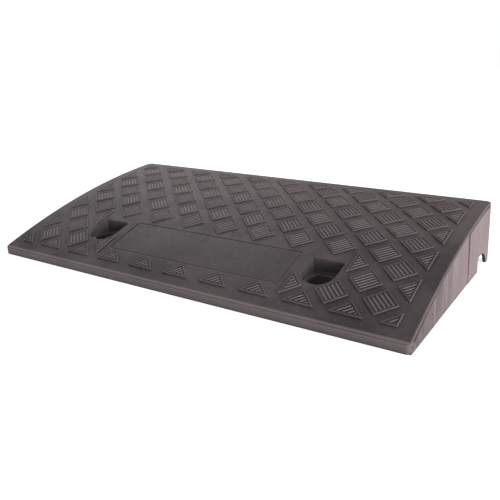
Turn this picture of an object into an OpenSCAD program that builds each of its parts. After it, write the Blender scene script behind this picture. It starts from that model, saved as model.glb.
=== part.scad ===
// Plastic kerb ramp: a hollow moulded wedge laid against a kerb so that wheels can climb it.
// X runs along the kerb, Y from the thin front edge to the kerb, Z up.
// The origin is the middle of the footprint, on the ground.

/* [Overall] */
// Length along the kerb
length = 490; // [430:5:590]
// Depth from the front edge to the kerb
depth = 252; // [215:1:305]
// Height of the deck at the kerb
height = 66; // [56:1:80]
// Height of the front edge
lip_h = 9; // [7:0.5:11]
// Rise of the curved deck above a straight line from front to rear
bulge = 10; // [6:0.5:13]
// Radius of the four upright corners
corner_r = 6; // [4:0.5:9]

/* [Walls] */
// Thickness of the deck skin
deck_t = 4; // [3:0.5:5]
// Thickness of the outer walls
wall_t = 3.5; // [2.5:0.5:5]
// Thickness of the ribs
rib_t = 3; // [2:0.5:4]
// How far the deck stands out past the rear cheeks
cheek_inset = 0.8; // [0.5:0.1:1.5]
// How far the deck stands out past the front side panels
panel_inset = 2.4; // [1.8:0.1:3]
// Length of the rear cheek, from the step in the side to the kerb
cheek_len = 84.5; // [72:0.5:100]

/* [Tread] */
// Plain border at the two ends
end_border = 16; // [13:0.5:19]
// Plain border along the front and rear edges, measured on the curve
edge_border = 15; // [12:0.5:18]
// Half of a pad's diagonal
pad_half = 16; // [13:0.5:18]
// Height of a pad above the deck
pad_h = 1.5; // [1:0.1:2.5]
// Least gap in plan between a pad and a pocket
pad_gap = 2; // [1:0.5:3]

/* [Bolt wells] */
// Width of a pocket, which is also the diameter of its round front
pocket_w = 34; // [30:0.5:40]
// Distance from the hole's centre to the flat rear side of its pocket
pocket_back = 19; // [16:0.5:22]
// Depth of the pocket's ledge below the deck, over the hole's centre
pocket_depth = 7.3; // [6:0.1:9]
// Thickness of the ledge and of the walls round the pocket
well_wall = 3; // [2:0.5:4]
// Radius of the round hole in the ledge
socket_r = 12; // [10:0.5:13]
// Radius of the hole for the anchor bolt
anchor_r = 7; // [5:0.5:8]
// Thickness of the seat under the bolt head
seat_t = 6; // [4:0.5:8]

/* [Centre panel] */
// Gap between a pocket and the panel's end
panel_gap = 13; // [10:0.5:17]
// Distance from the line of the holes to the panel's front edge
panel_front = 26; // [21.5:0.5:27]
// Distance from the line of the holes to the panel's rear edge
panel_back = 24; // [23:0.5:26]
// Width of the groove along the panel's edge
groove_w = 1.6; // [1:0.1:2.2]
// Depth of the groove along the panel's edge
groove_d = 1; // [0.6:0.1:1.5]

/* [Cable channel] */
// Height of the notch in each cheek
notch_h = 15.5; // [13:0.5:19]
// Distance from the front of the notch to the kerb
notch_len = 46.5; // [44:0.5:56]
// Length of the leg between the notch and the kerb
leg_len = 11; // [9:0.5:14]
// Height of the gap under the rear wall, from leg to leg
rear_gap = 6; // [4:0.5:8]
// Radius of the notch's front upper corner
notch_corner = 7; // [4:0.5:9]
// Radius of the long curve that the notch's roof follows down to the leg
notch_sweep = 22; // [20:0.5:26]
// Gap between the channel wall and the front of the notch
channel_gap = 1; // [0.5:0.1:2]
// Height of the gussets' lower edge above the ground
gusset_z = 22; // [20:0.5:26]

/* [Hidden] */
SIDES = [["left", -1], ["right", 1]];

// Counts and resolution
tread_columns = 10;
tread_rows = 5;
curve_fn = 256;
round_fn = 72;
overcut = 1;

// Colours
charcoal = "#5f595b";
charcoal_light = "#736b6d";
charcoal_dark = "#4a4546";

// Circle through two points that bows out by rise on their left: centre y, centre z, radius
function bowed(from, to, rise) =
    let (run = to - from, chord = norm(run), radius = (chord * chord / 4 + rise * rise) / (2 * rise),
         middle = (from + to) / 2, left = [-run.y, run.x] / chord)
    concat(middle - left * (radius - rise), [radius]);

// The deck's curve, seen from the side
front_y = -depth / 2;
rear_y = depth / 2;
deck_arc = bowed([front_y, lip_h], [rear_y, height], bulge);
deck_r = deck_arc[2];
front_angle = asin((front_y - deck_arc[0]) / deck_r);
rear_angle = asin((rear_y - deck_arc[0]) / deck_r);
curve_len = (rear_angle - front_angle) * PI / 180 * deck_r;

// Angle of the deck's normal from upright, and plan position, at a distance along the curve
function angle_at(along) = front_angle + along / deck_r * 180 / PI;
function y_at(along) = deck_arc[0] + deck_r * sin(angle_at(along));

// Height of the deck at a plan position
function z_at(y) = deck_arc[1] + sqrt(deck_r * deck_r - (y - deck_arc[0]) * (y - deck_arc[0]));

// Tread grid
pitch_x = (length - 2 * end_border) / tread_columns;
pitch_s = (curve_len - 2 * edge_border) / tread_rows;
last_row = 2 * tread_rows;
// Columns left bare by the panel and the pockets in the first rows, counted from the middle;
// a pad centred on the limit keeps its outer half
bare_columns = [0, 2.5, 3.25, 3.5];

// Pockets sit on the third columns, in the third row
pocket_x = 3 * pitch_x;
pocket_y = y_at(edge_border + pitch_s);
well_front = pocket_y - pocket_w / 2 - well_wall;
well_back = pocket_y + pocket_back + well_wall;
well_half = pocket_w / 2 + well_wall;
panel_half = pocket_x - pocket_w / 2 - panel_gap;
ledge_z = z_at(pocket_y) - pocket_depth;

// Outer faces of the walls
panel_x = length / 2 - panel_inset;
cheek_x = length / 2 - cheek_inset;
step_y = rear_y - cheek_len;
lip_back = front_y + wall_t;
rear_inner = rear_y - wall_t;

// Channel under the rear of the deck
notch_front = rear_y - notch_len;
notch_back = rear_y - leg_len;
channel_back = notch_front - channel_gap;
channel_front = channel_back - rib_t;

// Ribs
flank_in = pocket_x - well_half - rib_t / 2;
flank_out = pocket_x + well_half + rib_t / 2;
outer_rib = (flank_out + panel_x - wall_t) / 2;
rib_side = [flank_in / 2, flank_in, flank_out, outer_rib];
rib_x = concat([for (i = [3:-1:0]) -rib_side[i]], [0], rib_side);
bay_len = channel_front - well_back;
toe_rib_y = (lip_back + well_front) / 2 + well_wall;
long_rib_y = [toe_rib_y, well_back + bay_len / 3, well_back + bay_len * 2 / 3];

// Draws a side outline, given in Y and Z, as a slab from one X to another
module slab(from, to) {
    translate([from, 0, 0]) rotate([90, 0, 90]) linear_extrude(to - from) children();
}

// Circle of the deck's curve, raised by lift. The turn puts one of its corners at the front edge,
// and its starting point a quarter turn away from the deck
module deck_circle(lift) {
    translate([deck_arc[0], deck_arc[1]]) rotate(-front_angle)
        circle(deck_r + lift, $fn = curve_fn);
}

// Everything under the deck's curve, lowered by drop, between two Y values
module under_curve(drop, from, to, floor_z = 0) {
    intersection() {
        deck_circle(-drop);
        translate([from, floor_z]) square([to - from, 2 * height - floor_z]);
    }
}

// Band between two heights above the deck's curve
module curve_band(low, high, from, to) {
    difference() {
        under_curve(-high, from, to, -height);
        deck_circle(low);
    }
}

// Upright prism of the footprint with round corners, for a given half length. It trims pieces
// that are drawn past it, so that an outer face comes from this prism alone
module footprint(half_x) {
    translate([0, 0, -overcut]) linear_extrude(2 * height + overcut) {
        square([2 * half_x - 2 * corner_r, depth], center = true);
        square([2 * half_x, depth - 2 * corner_r], center = true);
        for (x = [-1, 1], y = [-1, 1])
            translate([x * (half_x - corner_r), y * (rear_y - corner_r)])
                circle(corner_r, $fn = round_fn);
    }
}

// A piece of the deck skin between two X and two Y values
module skin(x_from, x_to, y_from, y_to) {
    slab(x_from, x_to) curve_band(-deck_t, 0, y_from, y_to);
}

// Room for the centre panel, cut from the skins round it
module panel_room() {
    translate([-panel_half, pocket_y - panel_front, 0])
        cube([2 * panel_half, panel_front + panel_back, 2 * height]);
}

module rear_deck() {
    color(charcoal) difference() {
        intersection() {
            skin(-length, length, well_back, rear_y + overcut);
            footprint(length / 2);
        }
        panel_room();
    }
}

module toe_deck() {
    color(charcoal) difference() {
        intersection() {
            skin(-length, length, front_y - overcut, well_front);
            footprint(length / 2);
        }
        panel_room();
    }
}

module end_deck(side) {
    inner = pocket_x + well_half;
    color(charcoal) mirror([side < 0 ? 1 : 0, 0, 0])
        skin(inner, length / 2, well_front, well_back);
}

// Plain plate between the pockets, with its upper edge stepped down to leave a groove all round
module centre_panel() {
    face_front = pocket_y - panel_front + groove_w;
    face_back = pocket_y + panel_back - groove_w;
    face_half = panel_half - groove_w;
    color(charcoal_light) difference() {
        skin(-panel_half, panel_half, pocket_y - panel_front, pocket_y + panel_back);
        difference() {
            slab(-length / 2, length / 2) curve_band(-groove_d, overcut, front_y, rear_y);
            translate([-face_half, face_front, 0])
                cube([2 * face_half, face_back - face_front, 2 * height]);
        }
    }
}

// Pocket outline in plan, grown all round by a gap: a round front and a flat rear
module pocket_outline(gap = 0) {
    circle(pocket_w / 2 + gap, $fn = round_fn);
    translate([-pocket_w / 2 - gap, 0]) square([pocket_w + 2 * gap, pocket_back + gap]);
}

module bolt_well(side) {
    shelf_z = ledge_z - well_wall;
    color(charcoal_dark) mirror([side < 0 ? 1 : 0, 0, 0]) difference() {
        union() {
            skin(panel_half, pocket_x + well_half, well_front, well_back);
            slab(pocket_x - well_half, pocket_x + well_half)
                under_curve(0, well_front, well_back, shelf_z);
            translate([pocket_x, pocket_y, 0])
                cylinder(r = socket_r + well_wall, h = ledge_z - overcut, $fn = round_fn);
        }
        translate([pocket_x, pocket_y, ledge_z]) linear_extrude(height) pocket_outline();
        translate([pocket_x, pocket_y, seat_t]) cylinder(r = socket_r, h = height, $fn = round_fn);
        translate([pocket_x, pocket_y, -overcut])
            cylinder(r = anchor_r, h = seat_t + 2 * overcut, $fn = round_fn);
    }
}

module front_lip() {
    color(charcoal) intersection() {
        slab(-length, length) under_curve(deck_t, front_y - overcut, lip_back);
        footprint(length / 2);
    }
}

// Upright wall at the kerb. Between the two legs it ends above the ground
module rear_wall() {
    inner = cheek_x - wall_t;
    color(charcoal) difference() {
        intersection() {
            slab(-length, length) under_curve(deck_t, rear_inner, rear_y + overcut);
            footprint(cheek_x);
        }
        translate([-inner, rear_inner - overcut, -overcut])
            cube([2 * inner, wall_t + 2 * overcut, rear_gap + overcut]);
    }
}

module side_panel(side) {
    color(charcoal_light) mirror([side < 0 ? 1 : 0, 0, 0])
        slab(panel_x - wall_t, panel_x) under_curve(deck_t, lip_back, step_y);
}

// Notch in a cheek, in Y and Z: open at the ground, upright at the front, with a round upper
// corner there and a roof that sweeps down to the leg
module notch_outline() {
    corner_y = notch_front + notch_corner;
    drop = notch_sweep - notch_h;
    sweep_y = notch_back - sqrt(notch_sweep * notch_sweep - drop * drop);
    translate([notch_front, -overcut])
        square([notch_corner, notch_h - notch_corner + overcut]);
    translate([corner_y, notch_h - notch_corner]) circle(notch_corner, $fn = round_fn);
    translate([corner_y, -overcut]) square([sweep_y - corner_y, notch_h + overcut]);
    intersection() {
        translate([sweep_y, -drop]) circle(notch_sweep, $fn = 2 * round_fn);
        translate([sweep_y - overcut, -overcut]) square([notch_sweep, notch_h + overcut]);
    }
}

module cheek(side) {
    color(charcoal_light) mirror([side < 0 ? 1 : 0, 0, 0]) intersection() {
        slab(cheek_x - wall_t, length) difference() {
            under_curve(deck_t, step_y, rear_inner);
            notch_outline();
        }
        footprint(cheek_x);
    }
}

module channel_wall() {
    color(charcoal_dark) slab(-cheek_x + wall_t, cheek_x - wall_t)
        under_curve(deck_t, channel_front, channel_back);
}

module channel_gussets() {
    color(charcoal_dark) for (x = rib_x)
        slab(x - rib_t / 2, x + rib_t / 2)
            under_curve(deck_t, channel_back, rear_inner, gusset_z);
}

module cross_rib(i) {
    color(charcoal_dark) slab(rib_x[i] - rib_t / 2, rib_x[i] + rib_t / 2)
        under_curve(deck_t, lip_back, channel_front);
}

// Segments of a lengthwise rib, one in each bay between the cross ribs and the side panels
module long_rib(y) {
    wall = panel_x - wall_t;
    ends = concat([-wall - rib_t / 2], rib_x, [wall + rib_t / 2]);
    color(charcoal_dark) for (i = [0:len(ends) - 2])
        slab(ends[i] + rib_t / 2, ends[i + 1] - rib_t / 2)
            under_curve(deck_t, y - rib_t / 2, y + rib_t / 2);
}

// Square pad turned 45 degrees; keep is 0 for the whole pad, or -1 or 1 for one half
module pad_outline(keep_x, keep_y) {
    intersection() {
        polygon([[-pad_half, 0], [0, -pad_half], [pad_half, 0], [0, pad_half]]);
        translate([keep_x * pad_half, keep_y * pad_half]) square(2 * pad_half, center = true);
    }
}

// One row of tread pads: even rows lie on the columns, odd rows between them
module tread_row(row) {
    along = edge_border + row * pitch_s / 2;
    first = row % 2 == 0 ? -tread_columns / 2 : 0.5 - tread_columns / 2;
    bare = row < len(bare_columns) ? bare_columns[row] : 0;
    keep_y = row == 0 ? 1 : row == last_row ? -1 : 0;
    color(charcoal_light) difference() {
        intersection() {
            for (column = [first:-first]) {
                place = abs(column);
                keep_x = place == tread_columns / 2 ? -sign(column)
                    : bare > 0 && place == bare ? sign(column) : 0;
                if (place >= bare)
                    translate([column * pitch_x, deck_arc[0], deck_arc[1]])
                        rotate([-angle_at(along), 0, 0])
                            translate([0, 0, deck_r - deck_t]) linear_extrude(2 * deck_t)
                                pad_outline(keep_x, keep_y);
            }
            slab(-length / 2, length / 2) curve_band(0, pad_h, front_y, rear_y);
        }
        for (side = SIDES)
            translate([side[1] * pocket_x, pocket_y, 0]) linear_extrude(2 * height)
                pocket_outline(pad_gap);
    }
}

rear_deck();
toe_deck();
centre_panel();
front_lip();
rear_wall();
channel_wall();
channel_gussets();
for (side = SIDES) {
    end_deck(side[1]);
    bolt_well(side[1]);
    side_panel(side[1]);
    cheek(side[1]);
}
for (i = [0:len(rib_x) - 1])
    cross_rib(i);
long_rib(long_rib_y[0]);  // toe_long_rib
long_rib(long_rib_y[1]);  // middle_long_rib
long_rib(long_rib_y[2]);  // rear_long_rib
for (row = [0:last_row])
    tread_row(row);
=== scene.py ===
"""Visual model of a moulded plastic kerb ramp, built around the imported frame.

Lengths are in metres, and MM turns millimetres into them. X runs along the kerb, Y from the thin
front edge to the kerb, and Z up.
"""

import logging
import math
from collections.abc import Callable, Iterable, Sequence
from dataclasses import dataclass, field
from enum import Enum

import bmesh
import bpy
from mathutils import Matrix, Vector
from mathutils.geometry import delaunay_2d_cdt

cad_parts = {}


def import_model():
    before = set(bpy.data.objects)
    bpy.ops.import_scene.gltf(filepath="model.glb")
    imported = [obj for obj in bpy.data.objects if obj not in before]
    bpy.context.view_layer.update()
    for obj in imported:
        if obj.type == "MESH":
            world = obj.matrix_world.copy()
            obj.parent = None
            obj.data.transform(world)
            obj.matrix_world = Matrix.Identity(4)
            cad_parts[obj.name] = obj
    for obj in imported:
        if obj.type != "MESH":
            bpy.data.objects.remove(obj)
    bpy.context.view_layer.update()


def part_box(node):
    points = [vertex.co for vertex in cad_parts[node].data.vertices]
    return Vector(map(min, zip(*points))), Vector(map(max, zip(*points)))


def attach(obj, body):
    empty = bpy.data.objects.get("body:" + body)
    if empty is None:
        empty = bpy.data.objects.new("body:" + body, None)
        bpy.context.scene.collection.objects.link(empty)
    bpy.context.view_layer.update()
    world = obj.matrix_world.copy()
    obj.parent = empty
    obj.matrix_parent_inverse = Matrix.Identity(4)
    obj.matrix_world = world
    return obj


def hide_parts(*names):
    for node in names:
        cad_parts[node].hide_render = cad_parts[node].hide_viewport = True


LOG = logging.getLogger("kerb_ramp")
MM = 0.001
Point = tuple[float, float]
Place = Callable[[float, float], Vector]
Section = list[tuple[float, Place]]
Layer = tuple[bpy.types.NodeSocket | bpy.types.Node, float, float, float | bpy.types.Node, str]


class Side(Enum):
    """The two ends of the ramp, with the sign of X."""

    LEFT = -1
    RIGHT = 1

    @property
    def word(self) -> str:
        """The side's name as the nodes write it."""
        return self.name.lower()


class Ribs(Enum):
    """Direction of the fine ribs on a tread pad, as the unit vector across them."""

    FORWARD = (math.sqrt(0.5), -math.sqrt(0.5))
    BACKWARD = (math.sqrt(0.5), math.sqrt(0.5))


@dataclass(frozen=True)
class DeckCurve:
    """A surface such as the deck's: a circular arc in Y and Z, straight along X."""

    centre_y: float
    centre_z: float
    radius: float
    front_y: float
    rear_y: float

    @classmethod
    def through(cls, front: Vector, rear: Vector, rise: float) -> "DeckCurve":
        """Makes the arc through two points that bows upwards.

        Args:
            front: Y and Z of the front edge.
            rear: Y and Z of the rear edge.
            rise: how far the arc rises above the straight line between them.

        Returns:
            The curve.
        """
        run = rear - front
        chord = run.length
        radius = (chord**2 / 4 + rise**2) / (2 * rise)
        left = Vector((-run.y, run.x)) / chord
        centre = (front + rear) / 2 - left * (radius - rise)
        return cls(centre.x, centre.y, radius, front.x, rear.x)

    @property
    def front_angle(self) -> float:
        """Angle of the deck's normal from upright at the front edge."""
        return math.asin((self.front_y - self.centre_y) / self.radius)

    @property
    def length(self) -> float:
        """Length of the arc from front to rear."""
        return self.radius * (math.asin((self.rear_y - self.centre_y) / self.radius) - self.front_angle)

    def z_at(self, y: float, lift: float = 0.0) -> float:
        """Height of the surface, or of one that lies lift above it, at a plan position."""
        return self.centre_z + math.sqrt((self.radius + lift) ** 2 - (y - self.centre_y) ** 2)

    def lift_of(self, point: Vector) -> float:
        """Height of a point above the surface, square to it."""
        return math.hypot(point.y - self.centre_y, point.z - self.centre_z) - self.radius

    def bend(self, x: float, along: float, lift: float) -> Vector:
        """Takes a point of the flat tread pattern to its place on the deck.

        Args:
            x: position along the kerb.
            along: distance from the front edge, measured on the curve.
            lift: height above the deck.

        Returns:
            The point in the row frame.
        """
        angle = self.front_angle + along / self.radius
        reach = self.radius + lift
        return Vector((x, self.centre_y + reach * math.sin(angle), self.centre_z + reach * math.cos(angle)))

    def sheet(self, lift: float) -> Place:
        """Placer that drapes plan points on a surface lift above the deck."""
        return lambda x, y: Vector((x, y, self.z_at(y, lift)))


def level(z: float) -> Place:
    """Placer that lays plan points at one height."""
    return lambda x, y: Vector((x, y, z))


def upright(x: float) -> Place:
    """Placer that stands Y and Z points at one X."""
    return lambda y, z: Vector((x, y, z))


def crosswise(y: float) -> Place:
    """Placer that stands X and Z points at one Y."""
    return lambda x, z: Vector((x, y, z))


@dataclass(frozen=True)
class Lean:
    """How a side wall departs from upright: it leans in as it rises, and may flare out along Y."""

    draft: float
    flare: float = 0.0
    flare_from: float = 0.0
    flare_to: float = 1.0

    def lay(self, place: Place) -> Place:
        """Leans a placer's points.

        Args:
            place: the upright placer.

        Returns:
            The leaning placer.
        """

        def leaning(u: float, v: float) -> Vector:
            """Places one point.

            Args:
                u: first flat coordinate.
                v: second flat coordinate.

            Returns:
                The leaning point.
            """
            point = place(u, v)
            share = (point.y - self.flare_from) / (self.flare_to - self.flare_from)
            flare = self.flare * min(max(share, 0.0), 1.0) ** 2
            point.x += math.copysign(1.0, point.x) * (flare - self.draft * point.z)
            return point

        return leaning


@dataclass
class Outline:
    """A closed flat outline with the material on its left, and the station that each point marks."""

    points: list[Point]
    marks: list[int | None] = field(default_factory=list)

    def __post_init__(self) -> None:
        """Gives every point an empty mark where none is stated."""
        if not self.marks:
            self.marks = [None] * len(self.points)

    def reversed(self) -> "Outline":
        """The same outline run the other way, as the edge of a hole."""
        return Outline(self.points[::-1], self.marks[::-1])

    def split(self, stations: Sequence[float]) -> "Outline":
        """Adds a marked point wherever the outline crosses a station, or moves a near one on to it.

        Args:
            stations: second coordinates at which a sheet is creased.

        Returns:
            The outline with the added points.
        """
        reach = 0.2 * MM
        snapped: list[tuple[float, float, int | None]] = []
        for x, y in self.points:
            near = next((i for i, station in enumerate(stations) if abs(station - y) < reach), None)
            snapped.append((x, y if near is None else stations[near], near))
        points: list[Point] = []
        marks: list[int | None] = []
        for (ax, ay, mark), (bx, by, _) in looped(snapped):
            points.append((ax, ay))
            marks.append(mark)
            crossed = [i for i, station in enumerate(stations) if min(ay, by) < station < max(ay, by)]
            for i in sorted(crossed, reverse=by < ay):
                share = (stations[i] - ay) / (by - ay)
                points.append((ax + share * (bx - ax), stations[i]))
                marks.append(i)
        return Outline(points, marks)

    def inset(self, distance: float) -> list[Point]:
        """Moves every edge towards the material.

        Args:
            distance: how far the edges move; a negative value moves them outwards.

        Returns:
            The moved points, in the same order.
        """
        normals = []
        for (ax, ay), (bx, by) in looped(self.points):
            length = math.hypot(bx - ax, by - ay)
            normals.append(((ay - by) / length, (bx - ax) / length))
        moved = []
        for i, (x, y) in enumerate(self.points):
            (nx, ny), (mx, my) = normals[i - 1], normals[i]
            share = distance / (1 + nx * mx + ny * my)
            moved.append((x + (nx + mx) * share, y + (ny + my) * share))
        return moved


def looped(items: Sequence) -> Iterable[tuple]:
    """Pairs each item with the next one, and the last with the first."""
    return zip(items, [*items[1:], *items[:1]])


def mirrored(points: Sequence[Point]) -> list[Point]:
    """The points with X the other way round."""
    return [(-x, y) for x, y in points]


def arc(centre: Point, radius: float, start: float, stop: float, steps: int) -> list[Point]:
    """Points on a circular arc, its ends included, between two angles in degrees."""
    angles = [math.radians(start + (stop - start) * i / steps) for i in range(steps + 1)]
    return [(centre[0] + radius * math.cos(a), centre[1] + radius * math.sin(a)) for a in angles]


def quarter_bends() -> list[Point]:
    """A quarter circle of radius 1, as how far each point lies inwards and how far down."""
    turns = [math.pi / 2 * i / 4 for i in range(5)]
    return [(1 - math.sin(a), 1 - math.cos(a)) for a in turns]


def rounded_rectangle(low: Point, high: Point, front: float, rear: float, steps: int = 6) -> Outline:
    """Outline of a rectangle with round corners, run anticlockwise.

    Args:
        low: lowest corner.
        high: highest corner.
        front: radius of the corners at the lower Y.
        rear: radius of the corners at the higher Y.
        steps: straight pieces in each corner.

    Returns:
        The outline.
    """
    y0, y1 = low[1] + front, high[1] - rear
    return Outline(
        arc((high[0] - front, y0), front, -90, 0, steps)
        + arc((high[0] - rear, y1), rear, 0, 90, steps)
        + arc((low[0] + rear, y1), rear, 90, 180, steps)
        + arc((low[0] + front, y0), front, 180, 270, steps)
    )


def edge_section(
    place_at: Callable[[float], Place], thickness: float, upper: float, lower: float, strip: float = 0.5 * MM
) -> Section:
    """Section over the edge of a plate, with a round upper and a round lower corner.

    Args:
        place_at: gives the placer at a depth below the plate's upper face.
        thickness: thickness of the plate.
        upper: radius at the upper face.
        lower: radius at the lower face; none is made at zero.
        strip: width of the flat strips beside a round corner, which keep the shading, the wear and the
            painted highlight
        of the corner off the rest of the flat face.

    Returns:
        Pairs of inset and placer, from the upper face to the lower one.
    """
    strips = (strip, strip / 2)
    bends = quarter_bends()
    section = [(upper + width, place_at(0)) for width in strips]
    section += [(upper * out, place_at(upper * down)) for out, down in bends]
    if not lower:
        return [*section, (0, place_at(thickness))]
    section += [(lower * out, place_at(thickness - lower * down)) for out, down in reversed(bends)]
    return section + [(lower + width, place_at(thickness)) for width in reversed(strips)]


def inside(point: Point, rings: Iterable[Sequence[Point]]) -> bool:
    """Says whether a point lies within an odd number of the rings.

    Args:
        point: the point.
        rings: closed rings of points.

    Returns:
        True if it does.
    """
    x, y = point
    odd = False
    for ring in rings:
        for (ax, ay), (bx, by) in looped(ring):
            if (ay > y) != (by > y) and x < ax + (y - ay) / (by - ay) * (bx - ax):
                odd = not odd
    return odd


class Moulding:
    """Builds one closed mesh from edge sections and the faces between them."""

    def __init__(self) -> None:
        """Starts an empty mesh."""
        self.mesh = bmesh.new()
        self.flat: dict[bmesh.types.BMVert, Point] = {}
        self.mark: dict[bmesh.types.BMVert, int | None] = {}

    def ring(self, points: Sequence[Point], place: Place, marks: Sequence[int | None] = ()) -> list:
        """Adds a ring of points and remembers where they lie in the flat.

        Args:
            points: flat points of the ring.
            place: placer for them.
            marks: the station that each point marks.

        Returns:
            The new vertices.
        """
        ring = []
        for i, point in enumerate(points):
            vert = self.mesh.verts.new(place(*point))
            self.flat[vert] = point
            self.mark[vert] = marks[i] if marks else None
            ring.append(vert)
        return ring

    def bands(self, rings: Sequence[Sequence]) -> None:
        """Joins each ring to the next one, of equal length, with a band of faces.

        Args:
            rings: the rings of vertices.
        """
        for first, second in zip(rings, rings[1:]):
            for (a, b), (d, c) in zip(looped(first), looped(second)):
                self.mesh.faces.new((a, b, c, d))

    def loft(self, rings: Sequence[Sequence]) -> None:
        """Adds a closed solid through rings, with one face over each end.

        Args:
            rings: the rings of vertices, all of one length.
        """
        self.bands(rings)
        self.mesh.faces.new(rings[-1])
        self.mesh.faces.new(rings[0])

    def rim(self, outline: Outline, section: Section) -> tuple[list, list]:
        """Sweeps a section round an outline.

        Args:
            outline: the outline, with the material on its left.
            section: pairs of inset and placer.

        Returns:
            The first and the last ring of vertices.
        """
        rings = [self.ring(outline.inset(inset), place, outline.marks) for inset, place in section]
        self.bands(rings)
        return rings[0], rings[-1]

    def cap(self, rings: Sequence[Sequence]) -> None:
        """Fills the area between rings with triangles, creased along the stations.

        Args:
            rings: outer rings and the rings of holes, in any order.
        """
        verts = [vert for ring in rings for vert in ring]
        index = {vert: i for i, vert in enumerate(verts)}
        edges = [(index[a], index[b]) for ring in rings for a, b in looped(ring)]
        stations: dict[int, list] = {}
        for vert in verts:
            if self.mark[vert] is not None:
                stations.setdefault(self.mark[vert], []).append(vert)
        for crossing in stations.values():
            crossing.sort(key=lambda vert: self.flat[vert][0])
            edges += [(index[a], index[b]) for a, b in zip(crossing[::2], crossing[1::2])]
        flat = [Vector(self.flat[vert]) for vert in verts]
        outlines = [[self.flat[vert] for vert in ring] for ring in rings]
        _, _, faces, origin, _, _ = delaunay_2d_cdt(flat, edges, [], 0, 1e-9)
        for face in faces:
            corners = [origin[i][0] for i in face]
            middle = tuple(sum(flat[i][k] for i in corners) / len(corners) for k in (0, 1))
            if inside(middle, outlines):
                self.mesh.faces.new([verts[i] for i in corners])

    def solid(self, outline: Outline, section: Section) -> None:
        """Adds a closed solid: a rim with both of its ends filled."""
        for ring in self.rim(outline, section):
            self.cap([ring])

    def finish(self, name: str) -> bpy.types.Object:
        """Turns the mesh into an object with smooth faces and sharp corners.

        Args:
            name: the object's name.

        Returns:
            The new object.
        """
        sharp = math.radians(40)
        bmesh.ops.recalc_face_normals(self.mesh, faces=self.mesh.faces)
        for edge in self.mesh.edges:
            if len(edge.link_faces) == 2 and edge.calc_face_angle() > sharp:
                edge.smooth = False
        for face in self.mesh.faces:
            face.smooth = True
        data = bpy.data.meshes.new(name)
        self.mesh.to_mesh(data)
        self.mesh.free()
        piece = bpy.data.objects.new(name, data)
        bpy.context.scene.collection.objects.link(piece)
        return piece


def linear(hexadecimal: str) -> tuple[float, float, float, float]:
    """Turns an sRGB hex colour into linear red, green, blue and alpha."""
    parts = [int(hexadecimal[i : i + 2], 16) / 255 for i in (1, 3, 5)]
    return (*(c / 12.92 if c <= 0.04045 else ((c + 0.055) / 1.055) ** 2.4 for c in parts), 1.0)


def empty_tree(owner: bpy.types.Material | bpy.types.World) -> bpy.types.NodeTree:
    """Turns on the nodes of a material or the world, and clears them.

    Args:
        owner: the material or the world.

    Returns:
        Its empty node tree.
    """
    owner.use_nodes = True
    owner.node_tree.nodes.clear()
    return owner.node_tree


def add_node(
    tree: bpy.types.NodeTree, kind: str, inputs: dict | None = None, **settings: object
) -> bpy.types.Node:
    """Adds a node with its settings, and sets or links its inputs.

    Args:
        tree: the node tree.
        kind: the node's type.
        inputs: for each input its value, an output socket, or a node whose first output is meant.
        settings: attributes to set on the node.

    Returns:
        The new node.
    """
    node = tree.nodes.new(kind)
    for name, value in settings.items():
        setattr(node, name, value)
    for name, value in (inputs or {}).items():
        if isinstance(value, bpy.types.Node):
            value = value.outputs[0]
        if isinstance(value, bpy.types.NodeSocket):
            tree.links.new(value, node.inputs[name])
        else:
            node.inputs[name].default_value = value
    return node


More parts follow.
